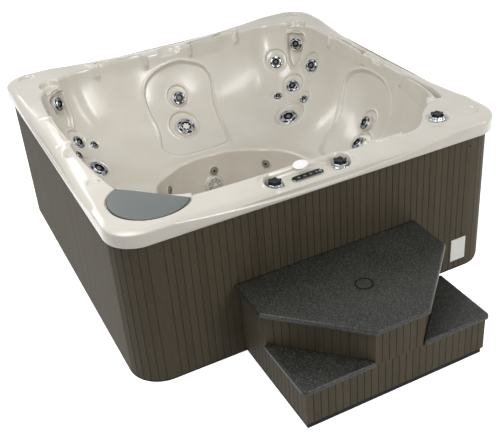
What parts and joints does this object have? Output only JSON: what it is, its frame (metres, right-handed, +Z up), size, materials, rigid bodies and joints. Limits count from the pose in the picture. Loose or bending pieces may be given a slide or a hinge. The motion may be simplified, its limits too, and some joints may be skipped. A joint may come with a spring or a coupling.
{
  "type": "hot tub",
  "caption": "Square acrylic hot tub with contoured seats, slatted cabinet, chrome jets and knobs, filter lid and a two-level step that houses its pump",
  "frame": {"origin": "floor under the centre of the tub", "axes": "+Z up, -Y towards the steps, +X to the right when facing the tub from the steps"},
  "size_m": [2.13, 2.753, 0.904],
  "materials": {
    "acrylic": "pearl gloss",
    "slats": "matte with fine grain",
    "tread": "pebbled",
    "black_base": "matte",
    "timber": "sawn",
    "foam": "matte",
    "screw_steel": "blackened",
    "plate_film": "satin",
    "badge_plastic": "satin",
    "housing_plastic": "satin",
    "filter_paper": "pleated",
    "lid_grey": "satin",
    "chrome": "polished",
    "panel_black": "gloss",
    "button_grey": "satin",
    "nut_plastic": "matte",
    "fitting_grey": "satin",
    "pipe_pvc": "satin",
    "pump_paint": "satin",
    "heater_steel": "brushed",
    "pack_paint": "satin"
  },
  "bodies": {
    "tub": {"base_pan": "black_base", "footwell_pad": "foam", "bottom_rails": "timber", "frame_posts": "timber", "top_rails": "timber", "skirt_front": "slats", "skirt_left": "slats", "skirt_back": "slats", "skirt_right": "slats", "skirt_corners": "slats", "skirt_screws": "screw_steel", "data_plate": "plate_film", "shell": "acrylic", "filter_housing": "housing_plastic", "filter_cartridge": "filter_paper", "valve_bodies": "chrome", "topside_panel": "panel_black", "badge_plate": "badge_plastic", "jet_fittings": "chrome", "jet_nuts": "nut_plastic", "mini_jets": "chrome", "footwell_jets": "fitting_grey", "suction_cover": "fitting_grey", "suction_body": "fitting_grey", "step_plinth": "black_base", "step_posts": "timber", "step_side_walls": "slats", "step_front_walls": "slats", "lower_treads": "tread", "pump": "pump_paint", "heater": "heater_steel", "control_pack": "pack_paint", "suction_pipe": "pipe_pvc", "return_pipe": "pipe_pvc", "drain_spigot": "panel_black"},
    "lid": {"filter_lid": "lid_grey"},
    "weir": {"weir_flap": "housing_plastic"},
    "knob_left": {"knob_left": "chrome"},
    "knob_right": {"knob_right": "chrome"},
    "knob_corner": {"knob_corner": "chrome"},
    "button_1": {"button_1": "button_grey"},
    "button_2": {"button_2": "button_grey"},
    "button_3": {"button_3": "button_grey"},
    "button_4": {"button_4": "button_grey"},
    "step_top": {"upper_tread": "tread", "tread_cap": "tread"},
    "jet_back_upper": {"jet_back_upper": "chrome"},
    "jet_back_lower": {"jet_back_lower": "chrome"},
    "jet_br_neck": {"jet_br_neck": "chrome"},
    "jet_br_left": {"jet_br_left": "chrome"},
    "jet_br_right": {"jet_br_right": "chrome"},
    "jet_br_centre": {"jet_br_centre": "chrome"},
    "jet_br_lower": {"jet_br_lower": "chrome"},
    "jet_right_upper": {"jet_right_upper": "chrome"},
    "jet_right_lower": {"jet_right_lower": "chrome"},
    "jet_bl_neck": {"jet_bl_neck": "chrome"},
    "jet_bl_centre": {"jet_bl_centre": "chrome"},
    "jet_bl_lower": {"jet_bl_lower": "chrome"},
    "jet_fr_upper": {"jet_fr_upper": "chrome"},
    "jet_fr_lower": {"jet_fr_lower": "chrome"}
  },
  "joints": [
    {"name": "lid_lift", "type": "slide", "parent": "tub", "child": "lid", "axis": [0, 0, 1], "range_m": [0, 0.25]},
    {"name": "weir_swing", "type": "hinge", "parent": "tub", "child": "weir", "pos_m": [-0.7566, -0.7566, 0.757], "axis": [-0.7071, 0.7071, 0], "range_deg": [0, 72]},
    {"name": "knob_left_turn", "type": "hinge", "parent": "tub", "child": "knob_left", "pos_m": [-0.232, -0.975, 0.838], "axis": [0, 0, 1], "range_deg": [-90, 90]},
    {"name": "knob_right_turn", "type": "hinge", "parent": "tub", "child": "knob_right", "pos_m": [0.126, -0.975, 0.838], "axis": [0, 0, 1], "range_deg": [-90, 90]},
    {"name": "knob_corner_turn", "type": "hinge", "parent": "tub", "child": "knob_corner", "pos_m": [0.768, -0.888, 0.87], "axis": [0, 0, 1], "range_deg": [-90, 90]},
    {"name": "button_1_press", "type": "slide", "parent": "tub", "child": "button_1", "axis": [0, 0, -1], "range_m": [0, 0.001], "stiffness_N_per_m": 500, "springref_m": -0.0005},
    {"name": "button_2_press", "type": "slide", "parent": "tub", "child": "button_2", "axis": [0, 0, -1], "range_m": [0, 0.001], "stiffness_N_per_m": 500, "springref_m": -0.0005},
    {"name": "button_3_press", "type": "slide", "parent": "tub", "child": "button_3", "axis": [0, 0, -1], "range_m": [0, 0.001], "stiffness_N_per_m": 500, "springref_m": -0.0005},
    {"name": "button_4_press", "type": "slide", "parent": "tub", "child": "button_4", "axis": [0, 0, -1], "range_m": [0, 0.001], "stiffness_N_per_m": 500, "springref_m": -0.0005},
    {"name": "jet_back_upper_turn", "type": "hinge", "parent": "tub", "child": "jet_back_upper", "pos_m": [-0.01404, 0.80408, 0.56415], "axis": [0.0148, -0.8452, 0.5342], "range_deg": [0, 90]},
    {"name": "jet_back_lower_turn", "type": "hinge", "parent": "tub", "child": "jet_back_lower", "pos_m": [-0.04049, 0.66193, 0.41928], "axis": [0.0338, -0.5534, 0.8322], "range_deg": [0, 90]},
    {"name": "jet_br_neck_turn", "type": "hinge", "parent": "tub", "child": "jet_br_neck", "pos_m": [0.87914, 0.79715, 0.73327], "axis": [-0.7058, -0.64, 0.3037], "range_deg": [0, 90]},
    {"name": "jet_br_left_turn", "type": "hinge", "parent": "tub", "child": "jet_br_left", "pos_m": [0.74074, 0.84317, 0.61711], "axis": [-0.5621, -0.6398, 0.524], "range_deg": [0, 90]},
    {"name": "jet_br_right_turn", "type": "hinge", "parent": "tub", "child": "jet_br_right", "pos_m": [0.88982, 0.61156, 0.63388], "axis": [-0.7205, -0.4952, 0.4855], "range_deg": [0, 90]},
    {"name": "jet_br_centre_turn", "type": "hinge", "parent": "tub", "child": "jet_br_centre", "pos_m": [0.77075, 0.67474, 0.48963], "axis": [-0.4996, -0.4374, 0.7477], "range_deg": [0, 90]},
    {"name": "jet_br_lower_turn", "type": "hinge", "parent": "tub", "child": "jet_br_lower", "pos_m": [0.63036, 0.49249, 0.36636], "axis": [-0.2855, -0.223, 0.9321], "range_deg": [0, 90]},
    {"name": "jet_right_upper_turn", "type": "hinge", "parent": "tub", "child": "jet_right_upper", "pos_m": [0.83797, -0.11777, 0.51277], "axis": [-0.7833, 0.1101, 0.6119], "range_deg": [0, 90]},
    {"name": "jet_right_lower_turn", "type": "hinge", "parent": "tub", "child": "jet_right_lower", "pos_m": [0.74475, -0.17742, 0.42499], "axis": [-0.5855, 0.1395, 0.7986], "range_deg": [0, 90]},
    {"name": "jet_bl_neck_turn", "type": "hinge", "parent": "tub", "child": "jet_bl_neck", "pos_m": [-0.80266, 0.79986, 0.73821], "axis": [0.682, -0.6796, 0.2702], "range_deg": [0, 90]},
    {"name": "jet_bl_centre_turn", "type": "hinge", "parent": "tub", "child": "jet_bl_centre", "pos_m": [-0.75257, 0.67525, 0.51127], "axis": [0.5578, -0.5005, 0.662], "range_deg": [0, 90]},
    {"name": "jet_bl_lower_turn", "type": "hinge", "parent": "tub", "child": "jet_bl_lower", "pos_m": [-0.70594, 0.46902, 0.40363], "axis": [0.4563, -0.3032, 0.8366], "range_deg": [0, 90]},
    {"name": "jet_fr_upper_turn", "type": "hinge", "parent": "tub", "child": "jet_fr_upper", "pos_m": [0.70007, -0.67605, 0.53643], "axis": [-0.5899, 0.5697, 0.5722], "range_deg": [0, 90]},
    {"name": "jet_fr_lower_turn", "type": "hinge", "parent": "tub", "child": "jet_fr_lower", "pos_m": [0.59495, -0.57454, 0.39673], "axis": [-0.3821, 0.369, 0.8472], "range_deg": [0, 90]},
    {"name": "step_top_lift", "type": "slide", "parent": "tub", "child": "step_top", "axis": [0, 0, 1], "range_m": [0, 0.3]}
  ]
}
